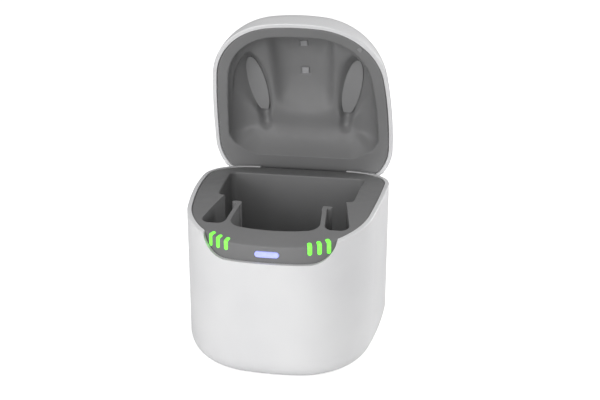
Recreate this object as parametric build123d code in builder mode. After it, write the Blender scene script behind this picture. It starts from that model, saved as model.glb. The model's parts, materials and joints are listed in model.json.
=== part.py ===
from build123d import *
import math
import os

# Hearing aid dryer: a bucket-shaped base with a drying cavity and two wells,
# and a domed lid on one hinge at the back.  Millimetres, +Z up, front at -Y.
# The origin is the centre of the footprint, on the surface the object stands on.

os.makedirs("parts", exist_ok=True)

# ---------------------------------------------------------------- outside form
BODY_WIDTH = 92.0
BODY_DEPTH = 93.4
SHELL_WALL = 2.0
PAD_STAND = 0.8             # the underside pad carries the base this far off the table
BASE_EDGE_R = 11.3          # rounding round the bottom of the base
REAR_CORNER_R = 22.5        # plan radii of the seam between shell and tray
SIDE_R = 260.0
FRONT_CORNER_R = 33.3
FRONT_R = 108.0
RIM_R = 214.8               # the rim is part of a drum whose axis runs along X
RIM_PEAK_INSET = 26.0       # highest line of the rim, measured in from the back seam
RIM_PEAK_Z = 75.4
RIM_ROUND = 0.5

# ------------------------------------------------------------------------- lid
LID_EDGE_Z = 94.0           # height of the lid's top face where its sides end
LID_CROWN = 3.0             # rise of the top face to its middle
LID_EDGE_R = 24.2
LID_GAP = 0.4               # parting gap between lid and base
OPEN_ANGLE = 76.0

# ----------------------------------------------------------------------- hinge
HINGE_Z = 67.0
HINGE_INSET = 6.1           # hinge axis in front of the outside back face
HINGE_GAP_HALF = 22.3       # half width of the gap in the back wall
PIN_R = 1.5
PIN_RUNNING_FIT = 0.06      # knuckle bores turn on the pin
PIN_BITE = 0.02             # lug bores hold the pin still
KNUCKLE_R = 3.2
LUG_R = 3.4
KNUCKLE_END_GAP = 0.4
KNUCKLE_SPAN = 12.0          # pitch of knuckles and lugs along the pin
LEAF_INNER = 4.5            # leaf's upright, measured behind the hinge axis
LEAF_OUTER = 6.0
LEAF_WEB = 2.4
LEAF_STOP_GAP = 0.35
RELIEF_GAP = 0.35           # lid edge to the back rim as the lid swings past

# ------------------------------------------------------------------ inner tray
TRAY_FIT = 0.1
DECK_DROP = 0.35            # the deck lies this far below the shell's rim
DECK_T = 2.2
SKIRT_T = 2.0
SKIRT_BOTTOM_Z = 54.8
LEDGE = 1.4                 # step inside the shell that the skirt stands on
CREASE_R = 0.9
TUB_WALL = 1.8
CAVITY_FLOOR_Z = 45.0
CAVITY_REAR_INSET = 14.9    # walls of the cavity and wells, measured in from the seam
CAVITY_REAR_SIDE = 10.3
CAVITY_FRONT_SIDE = 12.0
CAVITY_REAR_R = 3.5
CAVITY_SHOULDER_R = 2.8
CAVITY_LIP_R = 0.6
BAY_FRONT_INSET = 11.5
BAY_REAR_SIDE = 25.0
BAY_FRONT_SIDE = 23.3
BAY_CORNER_R = 6.0
FIN_T = 1.9
FIN_L = 19.6                # from the front of the wells to the middle of the fins' hooks
HOOK_L = 4.4
HOOK_T = 2.2
HOOK_BEND_R = 1.0
WELL_FLOOR_Z = 54.0
WELL_FRONT_INSET = 14.9
WELL_FRONT_SIDE = 9.8
WELL_REAR_SIDE = 15.2
WELL_L = 26.8
WELL_R = 3.6
POST_R = 3.4
POST_REAR_INSET = (10.0, 13.1)      # from the side and from the back
POST_FRONT_INSET = (8.4, 36.7)      # from the side and from the front

# ---------------------------------------------------- fascia, lights and button
NOTCH_TOP_INSET = 12.8      # sides of the notch, in from the side seam
NOTCH_LOW_INSET = 16.2
NOTCH_Z = 58.1
NOTCH_R = 11.0
BAR_W = 2.0
BAR_FIT = 0.05
BAR_LOW_Z = 61.9
BAR_ON_DECK = 2.4
BAR_FIRST_ANGLE = 18.1
BAR_PITCH_ANGLE = 7.45
BARS_PER_SIDE = 3
BUTTON_W = 10.9
BUTTON_H = 2.8
BUTTON_Z = 61.8
BUTTON_PROUD = 0.3
BUTTON_FIT = 0.2
BUTTON_TRAVEL = 0.4
BUTTON_FLANGE = 0.6
BUTTON_FLANGE_GAP = 0.3
FLEX_T = 0.5
STRIP_GAP = 2.3             # room for the button's flange and its travel
SWITCH_W = 6.0
SWITCH_H = 3.5
SWITCH_GAP = 0.1
STRIP_PAST_CORNER = 18.7     # strip's ends, outside the centres of the front corners
LID_SENSOR_ANGLE = 37.6
LID_SENSOR_W = 2.0

# --------------------------------------------------------------- base and power
FLOOR_T = 2.5
COVER_INSET = 15.0          # edge of the base cover inside the seam line
COVER_FIT = 0.25
COVER_T = 2.0
COVER_LAP = 3.0
PAD_INSET = 4.0             # edge of the underside pad inside the cover's edge
PAD_RECESS = 0.8
SCREW_R = 1.5
SCREW_HEAD_R = 2.8
SCREW_HEAD_T = 1.6
SCREW_SINK = 0.4            # heads lie this far inside the underside
SCREW_GRIP = 8.0
SCREW_FIT = 0.15
SCREW_BITE = 0.03           # pilot holes are drawn this much clear of the thread
BOARD_T = 1.6
BOARD_SIDE_INSET = 19.0
BOARD_REAR_INSET = 3.2
BOARD_FRONT_INSET = 15.7
BOARD_TOP_Z = 14.2
BOARD_CORNER_R = 2.0
BOARD_SCREW_R = 1.0
BOARD_SCREW_GRIP = 5.0
STANDOFF_SIDE_INSET = 26.0
STANDOFF_END_INSET = 26.7
STANDOFF_R = 3.0
BOSS_TOP_Z = 9.0
SOCKET_W = 8.94
SOCKET_H = 3.26
SOCKET_L = 7.3
SOCKET_WALL = 0.35
SOCKET_FIT = 0.2
SOCKET_BACK_T = 1.0
TONGUE_W = 6.7
TONGUE_T = 0.7
TONGUE_L = 4.5
CHIPS = (                   # x, y, width, depth and height of each square component
    (-8.0, 2.0, 9.0, 9.0, 1.2),
    (10.0, 6.0, 6.0, 5.0, 1.2),
    (12.0, -6.0, 5.0, 5.0, 1.2),
    (0.0, 22.0, 7.0, 7.0, 3.0),
)
CAPACITOR_X = 14.0
CAPACITOR_Y = 24.0
CAPACITOR_R = 3.15
CAPACITOR_H = 7.0
SPREADER_T = 1.5
HEATER_T = 0.4
SPREADER_INSET = 3.0
SENSOR_R = 1.6
COIL_SIDE_INSET = 17.4
COIL_AHEAD = 11.8           # coil's centre behind the well's front
COIL_R = 4.2
COIL_T = 1.0
RIBBON_W = 8.0
RIBBON_Y = 8.0
RIBBON_GAP = 0.1
RIBBON_LAP = 2.0
LED_REACH = 1.9

# ------------------------------------------------------------------- lid liner
LINER_FIT = 0.15
LINER_T = 2.0
BOWL_INSET = 5.8            # rim band round the sides and front
BOWL_REAR_INSET = 15.1
BOWL_REAR_R = 10.5
BOWL_DEPTH = 9.5            # bowl ceiling above the rim surface
BOWL_R = 10.0
LINER_SET_BACK = 0.3        # rim band above the lid shell's edge
FLANGE_T = 2.6
VALLEY_SIDE_INSET = 29.0
VALLEY_REAR_INSET = 34.7
VALLEY_SHOULDER = 8.0       # rounded rear of the valley, from front to back
VALLEY_CEILING_Z = 91.4
VALLEY_FRONT_R = 19.0
VALLEY_FALL_L = 20.5        # the ceiling falls away over this length at the rear
VALLEY_REAR_R = 34.0
VALLEY_SIDE_R = 9.0
POCKET_SIDE_INSET = 20.0
POCKET_FRONT_INSET = 39.9
POCKET_TILT = 12.2          # pockets lean outwards to the front
POCKET_L = 31.2
POCKET_W = 9.4
POCKET_FLOOR_Z = 87.6
POCKET_DEPTH = 8.0
POCKET_FLARE = 6.4
PAD_T = 0.8
PAD_FIT = 0.3
PAD_REAR = 13.7             # pad's rear end behind the pocket's middle
GROOVE_R = 3.0
GROOVE_SHIFT = 3.6          # groove's rear end inwards of the pocket's middle
GROOVE_REAR = 20.8          # and behind it
GROOVE_RISE = 0.9
WINDOW_SIDE = 3.2
WINDOW_PROUD = 0.5
WINDOW_FIT = 0.05
WINDOW_TILT = 21.0          # front window's place on the valley's front round
WINDOW_REAR_INSET = 33.2    # rear window's middle, from the front seam
LED_BOARD_L = 9.0
LED_BOARD_W = 6.0
LED_BOARD_T = 0.8
MAGNET_ANGLE = 45.2         # round the front corner
MAGNET_INSET = 1.85
MAGNET_R = 1.5
MAGNET_T = 2.0
DIMPLE_R = 0.6              # round mark in the rim band, in front of the magnet
DIMPLE_DEPTH = 0.3
DIMPLE_INSET = 2.7
REST_PAD_ANGLE = 44.5
REST_PAD_INSET = 2.1
REST_PAD_TURN = 45.0
REST_PAD_W = 1.9
REST_PAD_L = 2.3
REST_PAD_T = 1.2
REST_PAD_PROUD = 0.15
LEAF_FLANGE_T = 1.8
LEAF_FLANGE_FRONT = 7.0     # leaf's flange reaches this far ahead of the hinge
LEAF_SEAT_GAP = 0.03
LEAF_SCREW_X = 16.0
LEAF_SCREW_AHEAD = 4.6
LEAF_SCREW_R = 1.0
LEAF_SCREW_GRIP = 3.1
LEAF_SPOT_SINK = 0.1        # screw seats below the lowest edge of their heads' circle

# ------------------------------------------------------------ derived positions
seam_w = BODY_WIDTH / 2 - SHELL_WALL
seam_d = BODY_DEPTH / 2 - SHELL_WALL
hinge_y = BODY_DEPTH / 2 - HINGE_INSET
rim_peak_y = seam_d - RIM_PEAK_INSET
rim_centre_z = RIM_PEAK_Z - RIM_R
hinge_axis = Axis((0, hinge_y, HINGE_Z), (1, 0, 0))
rear_rim_z = rim_centre_z + math.sqrt(RIM_R**2 - (BODY_DEPTH / 2 - rim_peak_y) ** 2)
relief_r = math.hypot(HINGE_INSET, rear_rim_z - HINGE_Z) + RELIEF_GAP
board_low = BOARD_TOP_Z - BOARD_T
front_centre = Vector(0, FRONT_R - seam_d)
side_centre = Vector(seam_w - SIDE_R, seam_d - REAR_CORNER_R)
tray_grow = -TRAY_FIT
cavity_rear_y = seam_d - CAVITY_REAR_INSET
bay_front_y = -seam_d + BAY_FRONT_INSET
bay_rear_half = seam_w - BAY_REAR_SIDE
bay_front_half = seam_w - BAY_FRONT_SIDE
well_front_y = -seam_d + WELL_FRONT_INSET
well_rear_y = well_front_y + WELL_L
well_rear_half = seam_w - WELL_REAR_SIDE
fin_rear_y = well_front_y + FIN_L
board_x = 2 * (seam_w - BOARD_SIDE_INSET)
board_rear_y = seam_d - BOARD_REAR_INSET
board_front_y = -seam_d + BOARD_FRONT_INSET
standoff_x = 2 * (seam_w - STANDOFF_SIDE_INSET)
standoff_y = 2 * (seam_d - STANDOFF_END_INSET)
pocket_x = seam_w - POCKET_SIDE_INSET
pocket_y = -seam_d + POCKET_FRONT_INSET
valley_rear_y = seam_d - VALLEY_REAR_INSET
leaf_screw_y = hinge_y - LEAF_SCREW_AHEAD


def corner_centre():
    """Centre of the front corner arc, tangent inside both the front and the side arc."""
    front_reach = FRONT_R - FRONT_CORNER_R
    side_reach = SIDE_R - FRONT_CORNER_R
    span = side_centre - front_centre
    along = (front_reach**2 - side_reach**2 + span.length**2) / (2 * span.length)
    across = math.sqrt(front_reach**2 - along**2)
    unit = span.normalized()
    return front_centre + unit * along + Vector(-unit.Y, unit.X) * across


front_corner_centre = corner_centre()


# ------------------------------------------------------------- shared geometry
def outline(grow=0.0, plane=Plane.XY):
    """Plan outline parallel to the seam line, `grow` outside it."""
    front_tangent = front_centre + (front_corner_centre - front_centre).normalized() * (FRONT_R + grow)
    side_tangent = side_centre + (front_corner_centre - side_centre).normalized() * (SIDE_R + grow)
    with BuildSketch(plane) as sketch:
        with BuildLine():
            back = Line((0, seam_d + grow), (seam_w - REAR_CORNER_R, seam_d + grow))
            rear_corner = TangentArc(back @ 1, (seam_w + grow, side_centre.Y), tangent=(1, 0))
            side = TangentArc(rear_corner @ 1, (side_tangent.X, side_tangent.Y), tangent=(0, -1))
            corner = TangentArc(side @ 1, (front_tangent.X, front_tangent.Y), tangent=side % 1)
            TangentArc(corner @ 1, (0, -seam_d - grow), tangent=corner % 1)
            mirror(about=Plane.YZ)
        make_face()
    return sketch.sketch


def prism(face, low, high):
    """Upright solid over a plan face."""
    with BuildPart() as block:
        with BuildSketch(Plane.XY.offset(low)):
            add(face)
        extrude(amount=high - low)
    return block.part


def drum(rise=0.0):
    """Solid drum whose top is the rim surface, lifted by `rise`."""
    with BuildPart() as body:
        with BuildSketch(Plane.YZ.offset(-BODY_WIDTH)):
            with Locations((rim_peak_y, rim_centre_z)):
                Circle(RIM_R + rise)
        extrude(amount=2 * BODY_WIDTH)
    return body.part


def hinge_roller(radius, half_length):
    """Solid cylinder on the hinge axis."""
    with BuildPart() as roller:
        with BuildSketch(Plane.YZ.offset(-half_length)):
            with Locations((hinge_y, HINGE_Z)):
                Circle(radius)
        extrude(amount=2 * half_length)
    return roller.part


def block(x_low, x_high, y_low, y_high, z_low, z_high):
    """Plain box between two corners."""
    with BuildPart() as box:
        with BuildSketch(Plane.XY.offset(z_low)):
            with Locations(((x_low + x_high) / 2, (y_low + y_high) / 2)):
                Rectangle(x_high - x_low, y_high - y_low)
        extrude(amount=z_high - z_low)
    return box.part


def save(part, label):
    """Name a finished piece and write it."""
    part.label = label
    export_step(part, f"parts/{label}.step")


def save_on_lid(part, label):
    """Turn a piece of the closed lid to the open rest position and write it."""
    save(part.rotate(hinge_axis, -OPEN_ANGLE), label)


def tray_spot(angle, grow=0.0):
    """Point on the front corner arc, `angle` degrees outwards from straight ahead."""
    reach = FRONT_CORNER_R + grow
    turn = math.radians(angle)
    return (
        front_corner_centre.X + reach * math.sin(turn),
        front_corner_centre.Y - reach * math.cos(turn),
    )


# ------------------------------------------------------------------ base shell
shell_low = PAD_STAND
floor_top = shell_low + FLOOR_T
gap_low_z = HINGE_Z - LEAF_OUTER + LEAF_STOP_GAP
socket_z = BOARD_TOP_Z + SOCKET_H / 2
socket_rear_y = BODY_DEPTH / 2 - SHELL_WALL / 2
screw_seat_z = shell_low + SCREW_HEAD_T + SCREW_SINK
post_rear = (seam_w - POST_REAR_INSET[0], seam_d - POST_REAR_INSET[1])
post_front = (seam_w - POST_FRONT_INSET[0], -seam_d + POST_FRONT_INSET[1])
post_spots = [(side * x, y) for x, y in (post_rear, post_front) for side in (-1, 1)]
notch_top_half = seam_w - NOTCH_TOP_INSET
notch_low_half = seam_w - NOTCH_LOW_INSET

with BuildPart() as shell_hollow:
    with BuildSketch(Plane.XY.offset(floor_top)):
        add(outline(-LEDGE))
    extrude(amount=RIM_PEAK_Z)
    fillet(shell_hollow.faces().sort_by(Axis.Z)[0].edges(), BASE_EDGE_R - SHELL_WALL - LEDGE)

with BuildPart() as base_shell:
    with BuildSketch(Plane.XY.offset(shell_low)):
        add(outline(SHELL_WALL))
    extrude(amount=RIM_PEAK_Z - shell_low + 1)
    fillet(base_shell.faces().sort_by(Axis.Z)[0].edges(), BASE_EDGE_R)
    add(drum(), mode=Mode.INTERSECT)
    fillet(base_shell.faces().sort_by(Axis.Z)[-1].edges(), RIM_ROUND)
    add(shell_hollow.part, mode=Mode.SUBTRACT)
    with BuildSketch(Plane.XY.offset(shell_low + FLOOR_T / 2)):
        with Locations(*post_spots):
            Circle(POST_R)
    extrude(amount=BOSS_TOP_Z - shell_low - FLOOR_T / 2)
    add(prism(outline(), SKIRT_BOTTOM_Z, RIM_PEAK_Z + 1), mode=Mode.SUBTRACT)
    with BuildSketch(Plane.XZ.offset(BODY_DEPTH)):
        with BuildLine():
            Polyline(
                (-notch_top_half, RIM_PEAK_Z),
                (-notch_low_half, NOTCH_Z),
                (notch_low_half, NOTCH_Z),
                (notch_top_half, RIM_PEAK_Z),
                close=True,
            )
        notch = make_face()
        fillet(notch.vertices().group_by(Axis.Y)[0], NOTCH_R)
    extrude(amount=-BODY_DEPTH, mode=Mode.SUBTRACT)
    rear_gap = block(-HINGE_GAP_HALF, HINGE_GAP_HALF, hinge_y, BODY_DEPTH, gap_low_z, RIM_PEAK_Z)
    add(rear_gap, mode=Mode.SUBTRACT)
    with BuildSketch(Plane.XZ.offset(-BODY_DEPTH)):
        with Locations((0, socket_z)):
            SlotOverall(SOCKET_W + 2 * SOCKET_FIT, SOCKET_H + 2 * SOCKET_FIT)
    extrude(amount=BODY_DEPTH, mode=Mode.SUBTRACT)
    add(prism(outline(-COVER_INSET - COVER_LAP), 0, floor_top + 1), mode=Mode.SUBTRACT)
    add(prism(outline(-COVER_INSET), 0, shell_low + COVER_T), mode=Mode.SUBTRACT)
    with BuildSketch(Plane.XY):
        with Locations(*post_spots):
            Circle(SCREW_R + SCREW_FIT)
    extrude(amount=BOSS_TOP_Z, mode=Mode.SUBTRACT)
    with BuildSketch(Plane.XY):
        with Locations(*post_spots):
            Circle(SCREW_HEAD_R + SCREW_FIT)
    extrude(amount=screw_seat_z, mode=Mode.SUBTRACT)
save(base_shell.part, "base_shell")


# ------------------------------------------------------------------ inner tray
def bay_plan(grow=0.0):
    """Plan of the drying cavity: a wide bay behind and a narrower one between the fins."""
    rear_half = seam_w - CAVITY_REAR_SIDE
    front_half = seam_w - CAVITY_FRONT_SIDE
    bend = BAY_CORNER_R / 2
    with BuildSketch() as plan:
        with BuildLine():
            Polyline(
                (-well_rear_half, fin_rear_y),
                (-well_rear_half, well_rear_y),
                (-front_half, well_rear_y),
                (-rear_half, cavity_rear_y),
                (rear_half, cavity_rear_y),
                (front_half, well_rear_y),
                (well_rear_half, well_rear_y),
                (well_rear_half, fin_rear_y),
                close=True,
            )
        make_face()
        fillet(plan.vertices().group_by(Axis.Y)[-1], CAVITY_REAR_R)
        shoulder_band = (well_rear_y - FIN_T / 2, well_rear_y + FIN_T / 2)
        shoulders = plan.vertices().filter_by_position(Axis.Y, *shoulder_band)
        fillet([shoulders.sort_by(Axis.X)[0], shoulders.sort_by(Axis.X)[-1]], CAVITY_SHOULDER_R)
        with BuildLine():
            left_end = (-bay_front_half, bay_front_y + bend)
            right_end = (bay_front_half, bay_front_y + bend)
            front = ThreePointArc(left_end, (0, bay_front_y), right_end)
            Polyline(front @ 1, (bay_rear_half, fin_rear_y + 1), (-bay_rear_half, fin_rear_y + 1), front @ 0)
        make_face()
        fillet(plan.vertices().group_by(Axis.Y)[0], BAY_CORNER_R)
        if grow:
            offset(amount=grow)
    return plan.sketch


def well_plan(side, grow=0.0):
    """Plan of one well, open to the cavity behind."""
    front_half = seam_w - WELL_FRONT_SIDE
    with BuildSketch() as plan:
        with BuildLine():
            Polyline(
                (side * (bay_rear_half + FIN_T), fin_rear_y + 1),
                (side * well_rear_half, fin_rear_y + 1),
                (side * well_rear_half, well_rear_y),
                (side * front_half, well_front_y),
                (side * (bay_front_half + FIN_T), well_front_y),
                close=True,
            )
        make_face()
        fillet(plan.vertices().group_by(Axis.Y)[0], WELL_R)
        if grow:
            offset(amount=grow)
    return plan.sketch


def hook_plan(side):
    """Plan of a fin's rear end, which turns outwards into the well in a rounded hook."""
    fin_x = side * (bay_rear_half + FIN_T / 2)
    root_l = HOOK_T + HOOK_BEND_R
    with BuildSketch() as plan:
        with Locations((side * (bay_rear_half + HOOK_L / 2), fin_rear_y)):
            SlotOverall(HOOK_L, HOOK_T)
        with Locations((fin_x, fin_rear_y - root_l / 2)):
            Rectangle(FIN_T, root_l)
        bend = (side * (bay_rear_half + FIN_T), fin_rear_y - HOOK_T / 2, 0)
        fillet(plan.vertices().sort_by_distance(bend)[0], HOOK_BEND_R)
    return plan.sketch


def cavity_space(grow=0.0, top=RIM_PEAK_Z + 1):
    """Cavity and both wells as one solid, walls moved outwards by `grow`."""
    with BuildPart() as space:
        with BuildSketch(Plane.XY.offset(CAVITY_FLOOR_Z - grow)):
            add(bay_plan(grow))
        extrude(amount=top - CAVITY_FLOOR_Z + grow)
        with BuildSketch(Plane.XY.offset(WELL_FLOOR_Z - grow)):
            add(well_plan(-1, grow))
            add(well_plan(1, grow))
        extrude(amount=top - WELL_FLOOR_Z + grow)
    return space.part


def bar_cutter(angle, play=0.0):
    """Slot for one light bar: up the fascia, over the crease and onto the deck."""
    width = BAR_W - 2 * play
    foot = tray_spot(angle)
    inward = Vector(-math.sin(math.radians(angle)), math.cos(math.radians(angle)))
    wall_foot = (foot[0], foot[1], BAR_LOW_Z + play)
    wall = Plane(origin=wall_foot, x_dir=(inward.Y, -inward.X, 0), z_dir=(-inward.X, -inward.Y, 0))
    height = RIM_PEAK_Z - BAR_LOW_Z
    top = Plane(origin=(foot[0], foot[1], 0), x_dir=(inward.X, inward.Y, 0), z_dir=(0, 0, 1))
    with BuildPart() as cutter:
        with BuildSketch(wall.offset(1)):
            with Locations((0, height / 2)):
                SlotOverall(height, width, rotation=90)
        extrude(amount=-1 - SKIRT_T)
        with BuildSketch(top.offset(BAR_LOW_Z + BAR_W)):
            reach = BAR_ON_DECK - play + 1
            with Locations((reach / 2 - 1, 0)):
                SlotOverall(reach + width / 2, width)
        extrude(amount=height)
    return cutter.part


bar_angles = [BAR_FIRST_ANGLE + BAR_PITCH_ANGLE * i for i in range(BARS_PER_SIDE)]
deck_rise = -DECK_DROP

with BuildPart() as tray_outside:
    add(prism(outline(tray_grow), SKIRT_BOTTOM_Z, RIM_PEAK_Z + 1))
    add(drum(deck_rise), mode=Mode.INTERSECT)
    deck_edge = tray_outside.faces().sort_by(Axis.Z)[-1].edges()
    fillet(deck_edge.group_by(Axis.Y)[0] + deck_edge.group_by(Axis.Y)[1], CREASE_R)

with BuildPart() as tray_inside:
    add(prism(outline(tray_grow - SKIRT_T), SKIRT_BOTTOM_Z - 1, RIM_PEAK_Z + 1))
    add(drum(deck_rise - DECK_T), mode=Mode.INTERSECT)

with BuildPart() as tub:
    add(cavity_space(TUB_WALL))
    add(drum(deck_rise - DECK_T / 2), mode=Mode.INTERSECT)

with BuildPart() as posts:
    with BuildSketch(Plane.XY.offset(BOSS_TOP_Z)):
        with Locations(*post_spots):
            Circle(POST_R)
    extrude(amount=RIM_PEAK_Z - BOSS_TOP_Z)
    add(drum(deck_rise - DECK_T / 2), mode=Mode.INTERSECT)

with BuildPart() as hooks:
    with BuildSketch(Plane.XY.offset(CAVITY_FLOOR_Z - TUB_WALL / 2)):
        add(hook_plan(-1))
        add(hook_plan(1))
    extrude(amount=RIM_PEAK_Z - CAVITY_FLOOR_Z)
    add(drum(deck_rise), mode=Mode.INTERSECT)

# Lugs hang from the deck and carry the hinge pin between the leaf's knuckles.
lug_spans = [(KNUCKLE_SPAN / 2, KNUCKLE_SPAN * 3 / 2), (-KNUCKLE_SPAN * 3 / 2, -KNUCKLE_SPAN / 2)]
with BuildPart() as lugs:
    for low, high in lug_spans:
        with BuildSketch(Plane.YZ.offset(low + KNUCKLE_END_GAP / 2)):
            with Locations((hinge_y, HINGE_Z)):
                Circle(LUG_R)
            with Locations((hinge_y, (HINGE_Z + RIM_PEAK_Z) / 2)):
                Rectangle(2 * LUG_R, RIM_PEAK_Z - HINGE_Z)
        extrude(amount=high - low - KNUCKLE_END_GAP)
    add(drum(deck_rise - DECK_T / 2), mode=Mode.INTERSECT)

with BuildPart() as button_slot:
    with BuildSketch(Plane.XZ.offset(BODY_DEPTH / 2)):
        with Locations((0, BUTTON_Z)):
            SlotOverall(BUTTON_W + 2 * BUTTON_FIT, BUTTON_H + 2 * BUTTON_FIT)
    extrude(amount=-SHELL_WALL - 2 * SKIRT_T)

hinge_window = block(
    -HINGE_GAP_HALF,
    HINGE_GAP_HALF,
    hinge_y,
    BODY_DEPTH,
    gap_low_z - LEAF_STOP_GAP,
    rear_rim_z - DECK_DROP - DECK_T,
)

with BuildPart() as inner_tray:
    add(tray_outside.part)
    add(tray_inside.part, mode=Mode.SUBTRACT)
    add(tub.part)
    add(posts.part)
    add(hinge_window, mode=Mode.SUBTRACT)
    add(lugs.part)
    add(cavity_space(), mode=Mode.SUBTRACT)
    rear_lip = inner_tray.edges().filter_by_position(Axis.Y, cavity_rear_y - 0.01, cavity_rear_y + 0.01)
    fillet(rear_lip.sort_by(Axis.Z)[-1], CAVITY_LIP_R)
    add(hooks.part)
    with BuildSketch(Plane.XY.offset(BOSS_TOP_Z)):
        with Locations(*post_spots):
            Circle(SCREW_R + SCREW_BITE)
    extrude(amount=SCREW_GRIP + 1, mode=Mode.SUBTRACT)
    add(hinge_roller(PIN_R + PIN_BITE, HINGE_GAP_HALF), mode=Mode.SUBTRACT)
    add(button_slot.part, mode=Mode.SUBTRACT)
    for side in (-1, 1):
        for angle in bar_angles:
            slot = bar_cutter(angle)
            add(slot if side > 0 else slot.mirror(Plane.YZ), mode=Mode.SUBTRACT)
save(inner_tray.part, "inner_tray")

# ---------------------------------------------------------------- light bars
for side, side_name in ((-1, "left"), (1, "right")):
    for number, angle in enumerate(bar_angles, start=1):
        shape = bar_cutter(angle, BAR_FIT)
        if side < 0:
            shape = shape.mirror(Plane.YZ)
        with BuildPart() as light_bar:
            add(tray_outside.part)
            add(tray_inside.part, mode=Mode.SUBTRACT)
            add(shape, mode=Mode.INTERSECT)
        save(light_bar.part, f"light_bar_{side_name}_{number}")

# ---------------------------------------------------------------- start button
skirt_back_y = -seam_d - tray_grow + SKIRT_T
flange_y = skirt_back_y + BUTTON_FLANGE_GAP
with BuildPart() as start_button:
    with BuildSketch(Plane.XZ.offset(BODY_DEPTH / 2)):
        with Locations((0, BUTTON_Z)):
            SlotOverall(BUTTON_W, BUTTON_H)
    extrude(amount=-(BODY_DEPTH / 2 + flange_y + BUTTON_FLANGE))
    add(prism(outline(tray_grow + BUTTON_PROUD), NOTCH_Z, RIM_PEAK_Z), mode=Mode.INTERSECT)
    fillet(start_button.faces().sort_by(Axis.Y)[0].edges(), BUTTON_PROUD)
    with BuildSketch(Plane.XZ.offset(-flange_y)):
        with Locations((0, BUTTON_Z)):
            SlotOverall(BUTTON_W + 2 * BUTTON_FLANGE, BUTTON_H + BUTTON_FLANGE)
    extrude(amount=-BUTTON_FLANGE)
save(start_button.part, "start_button")


# ------------------------------------------------------------- base, in section
cover_top = shell_low + COVER_T
pad_edge = -COVER_INSET - PAD_INSET
with BuildPart() as base_cover:
    add(prism(outline(-COVER_INSET - COVER_FIT), shell_low, cover_top))
    add(prism(outline(-COVER_INSET - COVER_LAP - COVER_FIT), cover_top, floor_top + COVER_T))
    cover_well = prism(outline(-COVER_INSET - COVER_LAP - COVER_T), cover_top, floor_top + COVER_T)
    add(cover_well, mode=Mode.SUBTRACT)
    with BuildSketch(Plane.XY.offset(cover_top)):
        with GridLocations(standoff_x, standoff_y, 2, 2):
            Circle(STANDOFF_R)
    extrude(amount=board_low - cover_top)
    with BuildSketch(Plane.XY.offset(board_low)):
        with GridLocations(standoff_x, standoff_y, 2, 2):
            Circle(BOARD_SCREW_R + SCREW_BITE)
    extrude(amount=-BOARD_SCREW_GRIP - 1, mode=Mode.SUBTRACT)
    add(prism(outline(pad_edge + COVER_FIT), 0, shell_low + PAD_RECESS), mode=Mode.SUBTRACT)
save(base_cover.part, "base_cover")

with BuildPart() as base_pad:
    add(prism(outline(pad_edge), 0, shell_low + PAD_RECESS))
    fillet(base_pad.faces().sort_by(Axis.Z)[0].edges(), PAD_STAND / 2)
save(base_pad.part, "base_pad")


def screw(x, y, seat_z, shank_r, head_r, head_t, grip, direction):
    """Round-headed screw with a cross recess, its head's seat at seat_z."""
    plane = Plane(origin=(x, y, seat_z), x_dir=(1, 0, 0), z_dir=(0, 0, direction))
    with BuildPart() as piece:
        with BuildSketch(plane):
            Circle(head_r)
        extrude(amount=-head_t)
        outer_end = piece.edges().sort_by(Axis.Z)[0 if direction > 0 else -1]
        chamfer(outer_end, head_t / 4)
        with BuildSketch(plane):
            Circle(shank_r)
        extrude(amount=grip)
        with BuildSketch(plane.offset(-head_t)):
            Rectangle(head_r, head_r / 4)
            Rectangle(head_r / 4, head_r)
        extrude(amount=head_t / 2, mode=Mode.SUBTRACT)
    return piece.part


tray_screw_grip = BOSS_TOP_Z - screw_seat_z + SCREW_GRIP
tray_screws = [
    screw(x, y, screw_seat_z, SCREW_R, SCREW_HEAD_R, SCREW_HEAD_T, tray_screw_grip, 1)
    for x, y in post_spots
]
save(Compound(children=tray_screws), "tray_screws")

# ------------------------------------------------------------------ main board
with BuildPart() as main_board:
    with BuildSketch(Plane.XY.offset(board_low)):
        with Locations((0, (board_rear_y + board_front_y) / 2)):
            RectangleRounded(board_x, board_rear_y - board_front_y, BOARD_CORNER_R)
        with GridLocations(standoff_x, standoff_y, 2, 2):
            Circle(BOARD_SCREW_R + SCREW_FIT, mode=Mode.SUBTRACT)
    extrude(amount=BOARD_T)
save(main_board.part, "main_board")

board_screw_spots = [(i * standoff_x / 2, j * standoff_y / 2) for i in (-1, 1) for j in (-1, 1)]
board_screws = [
    screw(x, y, BOARD_TOP_Z, BOARD_SCREW_R, 2 * BOARD_SCREW_R, BOARD_SCREW_R, BOARD_T + BOARD_SCREW_GRIP, -1)
    for x, y in board_screw_spots
]
save(Compound(children=board_screws), "board_screws")

with BuildPart() as board_chips:
    for x, y, width, depth, height in CHIPS:
        with BuildSketch(Plane.XY.offset(BOARD_TOP_Z)):
            with Locations((x, y)):
                Rectangle(width, depth)
        extrude(amount=height)
    with BuildSketch(Plane.XY.offset(BOARD_TOP_Z)):
        with Locations((-CAPACITOR_X, CAPACITOR_Y), (CAPACITOR_X, CAPACITOR_Y)):
            Circle(CAPACITOR_R)
    extrude(amount=CAPACITOR_H)
save(board_chips.part, "board_components")

with BuildPart() as power_socket:
    socket_plane = Plane.XZ.offset(-socket_rear_y)
    with BuildSketch(socket_plane):
        with Locations((0, socket_z)):
            SlotOverall(SOCKET_W, SOCKET_H)
            SlotOverall(SOCKET_W - 2 * SOCKET_WALL, SOCKET_H - 2 * SOCKET_WALL, mode=Mode.SUBTRACT)
    extrude(amount=SOCKET_L)
    with BuildSketch(socket_plane.offset(SOCKET_L)):
        with Locations((0, socket_z)):
            SlotOverall(SOCKET_W, SOCKET_H)
    extrude(amount=-SOCKET_BACK_T)
    with BuildSketch(socket_plane.offset(SOCKET_L - SOCKET_BACK_T)):
        with Locations((0, socket_z)):
            Rectangle(TONGUE_W, TONGUE_T)
    extrude(amount=-TONGUE_L)
save(power_socket.part, "power_socket")

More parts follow.
